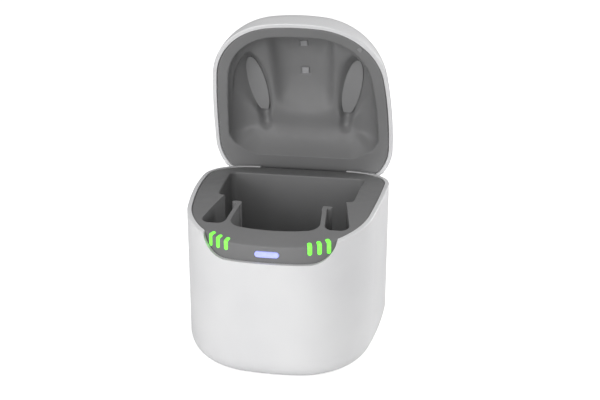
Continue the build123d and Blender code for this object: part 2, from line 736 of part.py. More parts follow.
# --------------------------------------------- indicator strip and start switch
strip_outer = tray_grow - SKIRT_T - STRIP_GAP
strip_low_z = SKIRT_BOTTOM_Z + 1
strip_high_z = BAR_LOW_Z + BAR_W
strip_half_w = front_corner_centre.X + STRIP_PAST_CORNER
with BuildPart() as indicator_strip:
    add(prism(outline(strip_outer), strip_low_z, strip_high_z))
    add(prism(outline(strip_outer - FLEX_T), strip_low_z, strip_high_z), mode=Mode.SUBTRACT)
    add(block(-strip_half_w, strip_half_w, -BODY_DEPTH, 0, 0, RIM_PEAK_Z), mode=Mode.INTERSECT)
save(indicator_strip.part, "indicator_strip")

strip_face_y = -seam_d - strip_outer
switch_front_y = flange_y + BUTTON_FLANGE + BUTTON_TRAVEL + SWITCH_GAP
with BuildPart() as start_switch:
    with BuildSketch(Plane.XZ.offset(-switch_front_y)):
        with Locations((0, BUTTON_Z)):
            Rectangle(SWITCH_W, SWITCH_H)
    extrude(amount=switch_front_y - strip_face_y)
save(start_switch.part, "start_switch")


# ----------------------------------------------- heater, coils and their wiring
spreader_top = CAVITY_FLOOR_Z - TUB_WALL
with BuildPart() as heat_spreader:
    with BuildSketch(Plane.XY.offset(spreader_top)):
        add(bay_plan(-SPREADER_INSET))
    extrude(amount=-SPREADER_T)
save(heat_spreader.part, "heat_spreader")

heater_low = spreader_top - SPREADER_T - HEATER_T
with BuildPart() as heater_film:
    with BuildSketch(Plane.XY.offset(heater_low)):
        add(bay_plan(-2 * SPREADER_INSET))
    extrude(amount=HEATER_T)
save(heater_film.part, "heater_film")

with BuildPart() as temperature_sensor:
    with BuildSketch(Plane.XY.offset(heater_low)):
        with Locations((0, cavity_rear_y / 2)):
            Circle(SENSOR_R)
    extrude(amount=-SENSOR_R)
    fillet(temperature_sensor.edges().sort_by(Axis.Z)[0], SENSOR_R / 2)
save(temperature_sensor.part, "temperature_sensor")

for side, side_name in ((-1, "left"), (1, "right")):
    with BuildPart() as charging_coil:
        with BuildSketch(Plane.XY.offset(WELL_FLOOR_Z - TUB_WALL)):
            with Locations((side * (seam_w - COIL_SIDE_INSET), well_front_y + COIL_AHEAD)):
                Circle(COIL_R)
                Circle(COIL_R / 3, mode=Mode.SUBTRACT)
        extrude(amount=-COIL_T)
    save(charging_coil.part, f"charging_coil_{side_name}")


heater_ribbon = block(
    -RIBBON_W / 2,
    RIBBON_W / 2,
    RIBBON_Y - FLEX_T / 2,
    RIBBON_Y + FLEX_T / 2,
    BOARD_TOP_Z,
    heater_low,
)
save(heater_ribbon, "heater_ribbon")

ribbon_top_y = strip_face_y + FLEX_T + RIBBON_GAP
ribbon_foot_y = board_front_y + FLEX_T
with BuildPart() as indicator_ribbon:
    with BuildSketch(Plane.YZ.offset(-RIBBON_W / 2)):
        with BuildLine():
            Polyline(
                (ribbon_foot_y, BOARD_TOP_Z),
                (ribbon_top_y, strip_low_z),
                (ribbon_top_y, strip_low_z + RIBBON_LAP),
                (ribbon_top_y + FLEX_T, strip_low_z + RIBBON_LAP),
                (ribbon_top_y + FLEX_T, strip_low_z),
                (ribbon_foot_y + FLEX_T, BOARD_TOP_Z),
                close=True,
            )
        make_face()
    extrude(amount=RIBBON_W)
save(indicator_ribbon.part, "indicator_ribbon")


def strip_chip(angle, width, reach, low):
    """Small part on the outer face of the strip, at an angle round the right front corner."""
    spot = tray_spot(angle, strip_outer)
    face = Plane(origin=(spot[0], spot[1], low), x_dir=(1, 0, 0), z_dir=(0, 0, 1)).rotated((0, 0, angle))
    with BuildPart() as chip:
        with BuildSketch(face):
            with Locations((0, -reach / 2)):
                Rectangle(width, reach)
        extrude(amount=BAR_W / 2)
    return chip.part


led_low_z = (BAR_LOW_Z + strip_high_z) / 2
right_leds = [strip_chip(angle, BAR_W * 3 / 4, LED_REACH, led_low_z) for angle in bar_angles]
left_leds = [led.mirror(Plane.YZ) for led in right_leds]
save(Compound(children=right_leds + left_leds), "indicator_leds")
lid_sensor = strip_chip(LID_SENSOR_ANGLE, LID_SENSOR_W, LID_SENSOR_W / 2, led_low_z)
save(lid_sensor.mirror(Plane.YZ), "lid_sensor")

# ----------------------------------------------------------------------- hinge
save(hinge_roller(PIN_R, HINGE_GAP_HALF - KNUCKLE_END_GAP), "hinge_pin")


# --------------------------------------------------- lid, drawn closed, then open
def dome(grow=0.0):
    """Solid lid form: seam outline grown by `grow`, crowned top, broad rounded edge."""
    crown_r = (seam_w**2 + LID_CROWN**2) / (2 * LID_CROWN)
    with BuildPart() as form:
        with BuildSketch(Plane.XY.offset(SKIRT_BOTTOM_Z)):
            add(outline(grow))
        extrude(amount=LID_EDGE_Z + LID_CROWN - SKIRT_BOTTOM_Z)
        with Locations((0, 0, LID_EDGE_Z + LID_CROWN - crown_r)):
            Sphere(crown_r - SHELL_WALL + grow, mode=Mode.INTERSECT)
        fillet(form.faces().sort_by(Axis.Z)[-1].edges(), LID_EDGE_R - SHELL_WALL + grow)
    return form.part


liner_rise = LID_GAP + LINER_SET_BACK
flange_rise = liner_rise + FLANGE_T
leaf_rise = flange_rise + LEAF_FLANGE_T
lid_space = dome()

with BuildPart() as lid_shell:
    add(dome(SHELL_WALL))
    add(drum(LID_GAP), mode=Mode.SUBTRACT)
    rim_edges = lid_shell.faces().sort_by(Axis.Z)[0].edges()
    fillet(rim_edges, RIM_ROUND)
    add(lid_space, mode=Mode.SUBTRACT)
    add(hinge_roller(relief_r, BODY_WIDTH), mode=Mode.SUBTRACT)
    leaf_notch = block(-HINGE_GAP_HALF, HINGE_GAP_HALF, hinge_y, BODY_DEPTH, HINGE_Z, LID_EDGE_Z)
    add(leaf_notch.intersect(drum(leaf_rise + LINER_FIT)), mode=Mode.SUBTRACT)
save_on_lid(lid_shell.part, "lid_shell")


def valley_ceiling(grow):
    """Everything under the valley's ceiling: rounded front, level middle, long fall to the rear."""
    ceiling = VALLEY_CEILING_Z + grow
    front_r = VALLEY_FRONT_R + grow
    front_y = -seam_d + BOWL_INSET - grow
    rear_r = VALLEY_REAR_R + grow
    drop_y = valley_rear_y + grow
    level_y = valley_rear_y - VALLEY_FALL_L
    fall = rear_r - math.sqrt(rear_r**2 - (drop_y - level_y) ** 2)
    with BuildPart() as under:
        with BuildSketch(Plane.YZ):
            with BuildLine():
                level = Line((front_y + front_r, ceiling), (level_y, ceiling))
                RadiusArc((front_y, ceiling - front_r), level @ 0, front_r)
                rear = RadiusArc(level @ 1, (drop_y, ceiling - fall), rear_r)
                Polyline(rear @ 1, (drop_y, HINGE_Z), (front_y, HINGE_Z), (front_y, ceiling - front_r))
            make_face()
        extrude(amount=BODY_WIDTH / 2, both=True)
    return under.part


def valley(grow=0.0):
    """Long hollow down the middle of the bowl."""
    half = seam_w - VALLEY_SIDE_INSET + grow
    shoulder_y = valley_rear_y - VALLEY_SHOULDER
    with BuildPart() as hollow:
        with BuildSketch(Plane.XY.offset(HINGE_Z)):
            with BuildLine():
                arc = ThreePointArc((half, shoulder_y), (0, valley_rear_y + grow), (-half, shoulder_y))
                Polyline(arc @ 1, (-half, -BODY_DEPTH), (half, -BODY_DEPTH), arc @ 0)
            make_face()
            add(outline(grow - BOWL_INSET), mode=Mode.INTERSECT)
        extrude(amount=VALLEY_CEILING_Z)
        add(valley_ceiling(grow), mode=Mode.INTERSECT)
        with BuildSketch(Plane.XZ):
            with Locations((0, HINGE_Z)):
                RectangleRounded(2 * half, 2 * (VALLEY_CEILING_Z + grow - HINGE_Z), VALLEY_SIDE_R + grow)
        extrude(amount=BODY_DEPTH, both=True, mode=Mode.INTERSECT)
    return hollow.part


def bowl(grow=0.0):
    """Main hollow of the lid, its ceiling parallel to the rim."""
    with BuildPart() as hollow:
        with BuildSketch(Plane.XY.offset(SKIRT_BOTTOM_Z)):
            add(outline(grow - BOWL_INSET))
            with Locations((0, seam_d - BOWL_REAR_INSET + grow - BODY_DEPTH / 2)):
                Rectangle(BODY_WIDTH, BODY_DEPTH, mode=Mode.INTERSECT)
        extrude(amount=LID_EDGE_Z - SKIRT_BOTTOM_Z)
        fillet(hollow.edges().filter_by(Axis.Z).group_by(Axis.Y)[-1], BOWL_REAR_R + grow)
        add(drum(BOWL_DEPTH + grow), mode=Mode.INTERSECT)
        fillet(hollow.faces().sort_by(Axis.Z)[-1].edges(), BOWL_R + grow)
    return hollow.part


def drum_z(y, rise):
    """Height of the rim surface, lifted by `rise`, at a distance from front to back."""
    return rim_centre_z + math.sqrt((RIM_R + rise) ** 2 - (y - rim_peak_y) ** 2)


pocket_plane = Plane(origin=(pocket_x, pocket_y, POCKET_FLOOR_Z)).rotated((0, 0, POCKET_TILT - 90))
groove_front = pocket_plane.from_local_coords(Vector(-POCKET_L / 3, 0, -GROOVE_R))
groove_rear_y = pocket_y + GROOVE_REAR
groove_rear_z = drum_z(groove_rear_y, BOWL_DEPTH) + GROOVE_RISE - GROOVE_R
groove_rear = Vector(pocket_x - GROOVE_SHIFT, groove_rear_y, groove_rear_z)


def pocket(grow=0.0):
    """Right-hand scoop in the bowl's ceiling and the groove that runs out of its rear end."""
    with BuildPart() as scoop:
        with BuildSketch(pocket_plane.offset(grow)):
            Ellipse(POCKET_L / 2 + grow, POCKET_W / 2 + grow)
        with BuildSketch(pocket_plane.offset(-POCKET_DEPTH)):
            Ellipse(POCKET_L / 2 + POCKET_FLARE + grow, POCKET_W / 2 + POCKET_FLARE + grow)
        loft()
    run = groove_rear - groove_front
    with BuildPart() as groove:
        with BuildSketch(Plane(origin=groove_front, z_dir=run)):
            Circle(GROOVE_R + grow)
        extrude(amount=run.length)
        with Locations(groove_rear):
            Sphere(GROOVE_R + grow)
    return scoop.part + groove.part


tilt = math.radians(WINDOW_TILT)
front_round_y = -seam_d + BOWL_INSET + VALLEY_FRONT_R
front_window_plane = Plane(
    origin=(
        0,
        front_round_y - VALLEY_FRONT_R * math.sin(tilt),
        VALLEY_CEILING_Z - VALLEY_FRONT_R * (1 - math.cos(tilt)),
    ),
    x_dir=(1, 0, 0),
    z_dir=(0, -math.sin(tilt), math.cos(tilt)),
)
rear_window_plane = Plane(origin=(0, -seam_d + WINDOW_REAR_INSET, VALLEY_CEILING_Z))
window_planes = {"front": front_window_plane, "rear": rear_window_plane}


def window(plane, grow=0.0):
    """Square light window through the liner, standing a little proud of it."""
    with BuildPart() as pane:
        with BuildSketch(plane.offset(-WINDOW_PROUD)):
            Rectangle(WINDOW_SIDE + 2 * grow, WINDOW_SIDE + 2 * grow)
        extrude(amount=WINDOW_PROUD + LINER_T)
    return pane.part


def rest_pad(grow=0.0):
    """Slanted pad in the rim band, with `grow` for its pocket."""
    x, y = tray_spot(REST_PAD_ANGLE, -REST_PAD_INSET)
    low = drum_z(y, liner_rise) - REST_PAD_PROUD
    with BuildPart() as pad:
        with BuildSketch(Plane(origin=(x, y, low)).rotated((0, 0, REST_PAD_TURN))):
            Rectangle(REST_PAD_L + 2 * grow, REST_PAD_W + 2 * grow)
        extrude(amount=REST_PAD_T)
    return pad.part


leaf_screw_spots = [(-LEAF_SCREW_X, leaf_screw_y), (LEAF_SCREW_X, leaf_screw_y)]
leaf_head_r = 2 * LEAF_SCREW_R
leaf_seat_z = drum_z(leaf_screw_y + leaf_head_r + SCREW_FIT, leaf_rise) - LEAF_SPOT_SINK
dimple_x, dimple_y = tray_spot(MAGNET_ANGLE, -DIMPLE_INSET)
magnet_x, magnet_y = tray_spot(MAGNET_ANGLE, -MAGNET_INSET)

with BuildPart() as lid_liner:
    add(dome(-LINER_FIT))
    add(drum(flange_rise), mode=Mode.INTERSECT)
    add(bowl(LINER_T))
    add(valley(LINER_T))
    add(pocket(LINER_T))
    add(pocket(LINER_T).mirror(Plane.YZ))
    add(drum(liner_rise), mode=Mode.SUBTRACT)
    add(hinge_roller(relief_r, BODY_WIDTH), mode=Mode.SUBTRACT)
    add(bowl(), mode=Mode.SUBTRACT)
    add(valley(), mode=Mode.SUBTRACT)
    add(pocket(), mode=Mode.SUBTRACT)
    add(pocket().mirror(Plane.YZ), mode=Mode.SUBTRACT)
    for plane in window_planes.values():
        add(window(plane, WINDOW_FIT), mode=Mode.SUBTRACT)
    add(rest_pad(WINDOW_FIT), mode=Mode.SUBTRACT)
    with BuildSketch(Plane.XY.offset(drum_z(dimple_y, liner_rise) + DIMPLE_DEPTH)):
        with Locations((-dimple_x, dimple_y)):
            Circle(DIMPLE_R)
    extrude(amount=-LINER_T, mode=Mode.SUBTRACT)
    with BuildSketch(Plane.XY.offset(leaf_seat_z - LEAF_SCREW_GRIP - SCREW_FIT)):
        with Locations(*leaf_screw_spots):
            Circle(LEAF_SCREW_R + SCREW_BITE)
    extrude(amount=LEAF_SCREW_GRIP, mode=Mode.SUBTRACT)
save_on_lid(lid_liner.part, "lid_liner")

# ------------------------------------------------------- pieces seated on the liner
with BuildPart() as holding_pad:
    with BuildSketch(pocket_plane):
        Ellipse(POCKET_L / 2 - PAD_FIT, POCKET_W / 2 - PAD_FIT)
    extrude(amount=-PAD_T)
    add(block(0, BODY_WIDTH, -BODY_DEPTH, pocket_y + PAD_REAR, 0, LID_EDGE_Z), mode=Mode.INTERSECT)
save_on_lid(holding_pad.part, "holding_pad_right")
save_on_lid(holding_pad.part.mirror(Plane.YZ), "holding_pad_left")

for place, plane in window_planes.items():
    save_on_lid(window(plane), f"uv_window_{place}")
    with BuildPart() as uv_board:
        with BuildSketch(plane.offset(LINER_T)):
            Rectangle(LED_BOARD_L, LED_BOARD_W)
        extrude(amount=LED_BOARD_T)
    save_on_lid(uv_board.part, f"uv_board_{place}")

save_on_lid(rest_pad(), "rest_pad")

with BuildPart() as lid_magnet:
    with BuildSketch(Plane.XY.offset(SKIRT_BOTTOM_Z)):
        with Locations((-magnet_x, magnet_y)):
            Circle(MAGNET_R)
    extrude(amount=LID_EDGE_Z - SKIRT_BOTTOM_Z)
    add(drum(flange_rise + MAGNET_T), mode=Mode.INTERSECT)
    add(drum(flange_rise), mode=Mode.SUBTRACT)
save_on_lid(lid_magnet.part, "lid_magnet")

# ------------------------------------------------------------------- hinge leaf
leaf_half = HINGE_GAP_HALF - LEAF_STOP_GAP
leaf_back = hinge_y + LEAF_OUTER
knuckle_half = (KNUCKLE_SPAN - KNUCKLE_END_GAP) / 2
end_knuckle = KNUCKLE_SPAN * 3 / 2 + KNUCKLE_END_GAP / 2
with BuildPart() as leaf_flange:
    add(block(-leaf_half, leaf_half, hinge_y - LEAF_FLANGE_FRONT, leaf_back, HINGE_Z, LID_EDGE_Z))
    add(drum(leaf_rise), mode=Mode.INTERSECT)
    add(drum(flange_rise + LEAF_SEAT_GAP), mode=Mode.SUBTRACT)

with BuildPart() as hinge_leaf:
    add(block(-leaf_half, leaf_half, hinge_y + LEAF_INNER, leaf_back, HINGE_Z - LEAF_WEB / 2, LID_EDGE_Z))
    add(drum(leaf_rise), mode=Mode.INTERSECT)
    add(leaf_flange.part)
    for low, high in ((-leaf_half, -end_knuckle), (-knuckle_half, knuckle_half), (end_knuckle, leaf_half)):
        with BuildSketch(Plane.YZ.offset(low)):
            with Locations((hinge_y, HINGE_Z)):
                Circle(KNUCKLE_R)
            with Locations((hinge_y + LEAF_OUTER / 2, HINGE_Z)):
                Rectangle(LEAF_OUTER, LEAF_WEB)
        extrude(amount=high - low)
    add(dome(SHELL_WALL), mode=Mode.INTERSECT)
    add(hinge_roller(PIN_R + PIN_RUNNING_FIT, BODY_WIDTH), mode=Mode.SUBTRACT)
    with BuildSketch(Plane.XY.offset(HINGE_Z)):
        with Locations(*leaf_screw_spots):
            Circle(LEAF_SCREW_R + SCREW_FIT)
    extrude(amount=LID_EDGE_Z - HINGE_Z, mode=Mode.SUBTRACT)
    with BuildSketch(Plane.XY.offset(leaf_seat_z)):
        with Locations(*leaf_screw_spots):
            Circle(leaf_head_r + SCREW_FIT)
    extrude(amount=LEAF_FLANGE_T, mode=Mode.SUBTRACT)
save_on_lid(hinge_leaf.part, "hinge_leaf")

leaf_screws = [
    screw(x, y, leaf_seat_z, LEAF_SCREW_R, leaf_head_r, LEAF_SCREW_R, LEAF_SCREW_GRIP, -1)
    for x, y in leaf_screw_spots
]
save_on_lid(Compound(children=leaf_screws), "leaf_screws")
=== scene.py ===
# %% [markdown]
# # Hearing aid dryer
#
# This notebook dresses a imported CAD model: a white bucket-shaped dryer with a domed lid,
# standing open.  The CAD pieces keep their places and sizes.  Here they get their
# finishes, a soft lining for the lid, a floor, lights and a camera.

# %% Load the frame
import json
import math

import bmesh
import bpy
import numpy as np
from mathutils import Matrix, Vector


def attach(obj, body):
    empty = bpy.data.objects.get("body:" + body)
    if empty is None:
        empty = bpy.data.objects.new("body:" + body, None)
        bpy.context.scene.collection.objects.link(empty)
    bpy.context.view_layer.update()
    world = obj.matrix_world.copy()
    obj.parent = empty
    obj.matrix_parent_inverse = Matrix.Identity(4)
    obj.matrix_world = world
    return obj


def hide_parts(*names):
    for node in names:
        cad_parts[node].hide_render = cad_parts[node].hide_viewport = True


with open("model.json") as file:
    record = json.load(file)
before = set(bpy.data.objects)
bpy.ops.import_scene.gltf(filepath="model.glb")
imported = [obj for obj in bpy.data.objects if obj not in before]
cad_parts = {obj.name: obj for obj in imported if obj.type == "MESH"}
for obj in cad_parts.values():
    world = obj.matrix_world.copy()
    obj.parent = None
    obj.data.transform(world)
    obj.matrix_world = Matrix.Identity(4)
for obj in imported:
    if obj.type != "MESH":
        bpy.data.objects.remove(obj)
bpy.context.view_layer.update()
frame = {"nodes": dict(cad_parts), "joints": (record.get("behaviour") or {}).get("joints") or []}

nodes = frame["nodes"]

# %% [markdown]
# ## The camera
#
# A camera is a place, a direction and a lens.  The direction is kept as a compass angle
# round the object, a height above the horizon and a slight roll, because these three
# numbers are easier to read than a rotation matrix.  They become the camera's own right,
# up and back directions, which are the columns of its matrix.

# %% Camera
CAMERA_PLACE = Vector((0.0861, -0.4402, 0.2244))
CAMERA_AZIMUTH = math.radians(10.244)
CAMERA_ELEVATION = math.radians(18.777)
CAMERA_ROLL = math.radians(0.13)
CAMERA_LENS = 60.557                    # mm, on a sensor 36 mm wide


def view_matrix(place, azimuth, elevation, roll):
    """Camera matrix for a view from that compass angle and height."""
    right = Vector((math.cos(azimuth), math.sin(azimuth), 0))
    back = Vector((
        math.sin(azimuth) * math.cos(elevation),
        -math.cos(azimuth) * math.cos(elevation),
        math.sin(elevation),
    ))
    up = back.cross(right)
    axes = Matrix((right, up, back)).transposed().to_4x4()
    return Matrix.Translation(place) @ axes @ Matrix.Rotation(roll, 4, "Z")


camera_data = bpy.data.cameras.new("camera")
camera_data.lens = CAMERA_LENS
camera_data.sensor_width = 36.0
camera_data.clip_start = 0.01
camera = bpy.data.objects.new("camera", camera_data)
bpy.context.scene.collection.objects.link(camera)
camera.matrix_world = view_matrix(CAMERA_PLACE, CAMERA_AZIMUTH, CAMERA_ELEVATION, CAMERA_ROLL)
bpy.context.scene.camera = camera
print("camera stands", round(CAMERA_PLACE.length, 3), "m from the origin")

# %% [markdown]
# ## Floor and light
#
# The floor is a pale sheet that takes a soft shadow.  Broad lamps are used because small
# ones would draw hard-edged highlights on the glossy shell.  The world is a plain white
# that fills the shadows, as the walls of a light tent do.

# %% Floor
FLOOR_SIZE = 6.0
FLOOR_GLOW = 0.68


def floor_paper():
    """Pale paper that looks nearly white to the camera and still takes a faint shadow."""
    made = bpy.data.materials.new("floor_paper")
    made.use_nodes = True
    tree = made.node_tree
    paper = tree.nodes["Principled BSDF"]
    paper.inputs["Base Color"].default_value = (0.93, 0.93, 0.93, 1)
    paper.inputs["Roughness"].default_value = 0.9
    seen = tree.nodes.new("ShaderNodeLightPath").outputs["Is Camera Ray"]
    glow = tree.nodes.new("ShaderNodeMath")
    glow.operation = "MULTIPLY"
    glow.inputs[1].default_value = FLOOR_GLOW
    tree.links.new(seen, glow.inputs[0])
    paper.inputs["Emission Color"].default_value = (1, 1, 1, 1)
    tree.links.new(glow.outputs["Value"], paper.inputs["Emission Strength"])
    return made


bpy.ops.mesh.primitive_plane_add(size=FLOOR_SIZE)
floor = bpy.context.object
floor.name = "floor"
floor.data.materials.append(floor_paper())

# %% Lamps
LAMPS = {
    # name: (place, aim, size, power)
    "front": ((0.15, -1.35, 0.35), (0, 0, 0.05), 0.8, 5.3),
    "front_left": ((-0.70, -1.10, 0.30), (0, 0, 0.05), 0.8, 7.0),
    "right_back": ((1.05, 0.85, 0.50), (0, 0, 0.05), 0.8, 10.5),
    "top": ((0.0, 0.05, 1.35), (0, 0, 0.05), 0.9, 5.0),
}
WORLD_STRENGTH = 0.26
BACKDROP_STRENGTH = 1.0


def aim_lamp(name, place, aim, size, power):
    """Square area lamp that looks from its place to its aim."""
    lamp_data = bpy.data.lights.new(name, "AREA")
    lamp_data.shape = "SQUARE"
    lamp_data.size = size
    lamp_data.energy = power
    lamp = bpy.data.objects.new(name, lamp_data)
    bpy.context.scene.collection.objects.link(lamp)
    lamp.location = place
    lamp.rotation_euler = (Vector(aim) - Vector(place)).to_track_quat("-Z", "Y").to_euler()
    return lamp


for lamp_name, settings in LAMPS.items():
    aim_lamp(lamp_name, *settings)

world = bpy.data.worlds.new("tent")
bpy.context.scene.world = world
world.use_nodes = True
world.node_tree.nodes["Background"].inputs["Color"].default_value = (1, 1, 1, 1)
background = world.node_tree.nodes["Background"]
seen = world.node_tree.nodes.new("ShaderNodeLightPath").outputs["Is Camera Ray"]
backdrop = world.node_tree.nodes.new("ShaderNodeMapRange")
backdrop.inputs["To Min"].default_value = WORLD_STRENGTH
backdrop.inputs["To Max"].default_value = BACKDROP_STRENGTH
world.node_tree.links.new(seen, backdrop.inputs["Value"])
world.node_tree.links.new(backdrop.outputs["Result"], background.inputs["Strength"])
bpy.context.scene.view_settings.view_transform = "Standard"
print(len(LAMPS), "lamps")

# %% [markdown]
# ## A small kit for materials
#
# Every finish here is built from the same few steps: noise on Object coordinates, a ramp
# or a range that turns the noise into colour or roughness, and a bump.  Object
# coordinates are used because each piece sits at the origin, so a pattern has the same
# size everywhere, in metres.

# %% Material kit
class Finish:
    """A Principled material with helpers that add one step each."""

    def __init__(self, name, roughness=0.5, **sockets):
        self.material = bpy.data.materials.new(name)
        self.material.use_nodes = True
        self.nodes = self.material.node_tree.nodes
        self.links = self.material.node_tree.links
        self.shader = self.nodes["Principled BSDF"]
        self.shader.inputs["Roughness"].default_value = roughness
        for socket, value in sockets.items():
            self.shader.inputs[socket.replace("_", " ")].default_value = value
        self.place = self.nodes.new("ShaderNodeTexCoord").outputs["Object"]
        self.bumps = None

    def noise(self, grain, detail=2.0, stretch=(1, 1, 1)):
        """Noise whose lumps are about `grain` metres across."""
        mapping = self.nodes.new("ShaderNodeMapping")
        mapping.inputs["Scale"].default_value = stretch
        self.links.new(self.place, mapping.inputs["Vector"])
        texture = self.nodes.new("ShaderNodeTexNoise")
        texture.inputs["Scale"].default_value = 1 / grain
        texture.inputs["Detail"].default_value = detail
        self.links.new(mapping.outputs["Vector"], texture.inputs["Vector"])
        return texture.outputs["Fac"]

    def cells(self, grain):
        """Distance to the nearest of points about `grain` metres apart."""
        texture = self.nodes.new("ShaderNodeTexVoronoi")
        texture.inputs["Scale"].default_value = 1 / grain
        self.links.new(self.place, texture.inputs["Vector"])
        return texture.outputs["Distance"]

    def ramp(self, value, stops):
        """Colour that follows a value through (position, colour) stops."""
        ramp = self.nodes.new("ShaderNodeValToRGB")
        for spot, (position, color) in enumerate(stops):
            if spot < 2:
                stop = ramp.color_ramp.elements[spot]
                stop.position = position
            else:
                stop = ramp.color_ramp.elements.new(position)
            stop.color = (*color, 1)
        self.links.new(value, ramp.inputs["Fac"])
        return ramp.outputs["Color"]

    def spread(self, value, low, high):
        """The middle of a noise, stretched to run from low to high."""
        span = self.nodes.new("ShaderNodeMapRange")
        span.inputs["From Min"].default_value = 0.3
        span.inputs["From Max"].default_value = 0.7
        span.inputs["To Min"].default_value = low
        span.inputs["To Max"].default_value = high
        self.links.new(value, span.inputs["Value"])
        return span.outputs["Result"]

    def feed(self, value, socket):
        """Drive one socket of the shader."""
        self.links.new(value, self.shader.inputs[socket])

    def bump(self, value, depth, strength=0.5):
        """Add a bump on top of those already there; depth in metres."""
        bump = self.nodes.new("ShaderNodeBump")
        bump.inputs["Distance"].default_value = depth
        bump.inputs["Strength"].default_value = strength
        self.links.new(value, bump.inputs["Height"])
        if self.bumps:
            self.links.new(self.bumps, bump.inputs["Normal"])
        self.bumps = bump.outputs["Normal"]
        self.links.new(self.bumps, self.shader.inputs["Normal"])


def dress(material, *names):
    """Give CAD nodes a material in place of their plain one."""
    for name in names:
        slots = nodes[name].material_slots
        for material_slot in slots:
            material_slot.material = material
        if not slots:
            nodes[name].data.materials.append(material)


# %% [markdown]
# ## White shell plastic
#
# The two shells are injection moulded and lightly polished.  Real white plastic is never
# one value: it is a little uneven in colour over a hand's width, its gloss wanders, and a
# faint orange-peel ripple bends its highlights.  Three noises of very different size give
# these three effects.

# %% White shell plastic
def white_plastic():
    """Satin white moulding with a faint orange peel."""
    finish = Finish("white_plastic", roughness=0.34, Coat_Weight=0.12, Coat_Roughness=0.2)
    cloudy = finish.noise(0.035)
    whites = [(0.35, (0.74, 0.74, 0.75)), (0.65, (0.78, 0.78, 0.785))]
    finish.feed(finish.ramp(cloudy, whites), "Base Color")
    finish.feed(finish.spread(finish.noise(0.012), 0.30, 0.40), "Roughness")
    finish.bump(finish.noise(0.0022), 0.00002, 0.35)
    finish.bump(finish.noise(0.0003), 0.000004, 0.3)
    return finish.material


dress(white_plastic(), "base_shell", "lid_shell")

# %% [markdown]
# ## Grey tray plastic
#
# The tray and the lid's lining come out of a mould whose steel was spark-eroded, which
# leaves an even matt grain.  Cells of a Voronoi texture give its tiny pits, and a fine
# noise breaks up their regular look.

# %% Grey tray plastic
def grey_plastic(name, dark, light, rough=0.5):
    """Matt grained moulding between two greys."""
    finish = Finish(name, roughness=rough)
    finish.feed(finish.ramp(finish.noise(0.02), [(0.3, dark), (0.7, light)]), "Base Color")
    finish.feed(finish.spread(finish.noise(0.004), rough - 0.06, rough + 0.06), "Roughness")
    finish.bump(finish.cells(0.00045), 0.000012, 0.4)
    finish.bump(finish.noise(0.0002), 0.000006, 0.3)
    return finish.material


tray_grey = grey_plastic("grey_plastic", (0.190, 0.190, 0.192), (0.202, 0.202, 0.204))
dress(tray_grey, "inner_tray", "lid_liner", "hinge_leaf")
pad_grey = grey_plastic("pad_rubber", (0.235, 0.235, 0.238), (0.250, 0.250, 0.253), 0.62)
dress(pad_grey, "holding_pad_left", "holding_pad_right", "rest_pad")
dress(grey_plastic("cover_plastic", (0.10, 0.10, 0.10), (0.12, 0.12, 0.12), 0.6), "base_cover")

# %% [markdown]
# ## Soft lining of the lid
#
# The lining is a shallow bowl whose hollows flow into each other with no sharp crease.
# A copy of it is made of even quads, so that it can be worked like clay: its rear wall is
# leaned back, its rear corners are opened, and everything above the rim band is relaxed.
# The work is done on the shut lid, where heights are measured from the rim, and the copy
# is then turned back to where the lid stands open.

# %% Soft lining
LINING_VOXEL = 0.0006
RIM_RADIUS = 0.2148                     # the rim is part of a drum that lies along X
RIM_AXIS = (0.0187, -0.1394)            # the drum's axis, in Y and Z
BAND_RISE = 0.0007                      # the lining's band above the rim surface
BOWL_RISE = 0.0095                      # the bowl's ceiling above it
BOWL_REAR = 0.0296                      # rear wall of the bowl
BOWL_ROUND = 0.010                      # rounding between its walls and its ceiling
BOWL_CORNER = (0.02687, 0.0191)         # centre of its rear corner
BOWL_CORNER_R = 0.0105
WALL_LEAN_L = 0.015                     # the leaning rear wall reaches this far forward
WALL_LEAN_SLOPE = 1.79
OPEN_CORNER_R = 0.016
OPEN_CORNER = (0.0222, 0.0136)
WINDOW_SPOTS = ((-0.0267, 0.0901, 21.0), (-0.0115, 0.0914, 0.0))    # Y, Z and tilt in degrees
WINDOW_MOAT = 0.0022                    # half side of the sunken square round a window
WINDOW_SINK = 0.0003
PAD_SPOT = (0.0240, -0.0048)
PAD_LONG = (0.211, -0.977)              # direction of a pad's long axis
PAD_HALF = (0.0156, 0.0047)
GROOVE_LINE = ((0.0218, 0.0054), (0.0204, 0.0160))
GROOVE_REACH = 0.0036                   # half width of the groove behind a pad
GROOVE_SINK = 0.0019
WALL_MATCH = 0.0009                     # a point this near the bowl's round lies on it
RELAX_STEP = 0.5                        # part of the way moved in one round
RELAX_ROUNDS = 150
BOWL_SOFTNESS = 0.14                    # how much of the valley's relaxing each place gets
PAD_SOFTNESS = 0.03
GROOVE_SOFTNESS = 0.04
PAD_FADE = (1.15, 1.7)                  # from firm to soft, in half axes of the pad
GROOVE_FADE = (0.0036, 0.0060)          # the same, in metres
WINDOW_FADE = (0.0034, 0.0060)
RISE_FADE = (0.0010, 0.0030)
VALLEY_SIDE_FADE = (0.0185, 0.0225)     # from soft to firm
VALLEY_REAR_FADE = (0.0180, 0.0230)


def shut_lid():
    """Turn about the hinge that takes the open lid to its shut place."""
    hinge = next(joint for joint in frame["joints"] if joint["name"] == "lid_hinge")
    to_hinge = Matrix.Translation(hinge["pos_m"])
    turn = Matrix.Rotation(math.radians(hinge["range_deg"][1]), 4, Vector(hinge["axis"]))
    return to_hinge @ turn @ to_hinge.inverted()


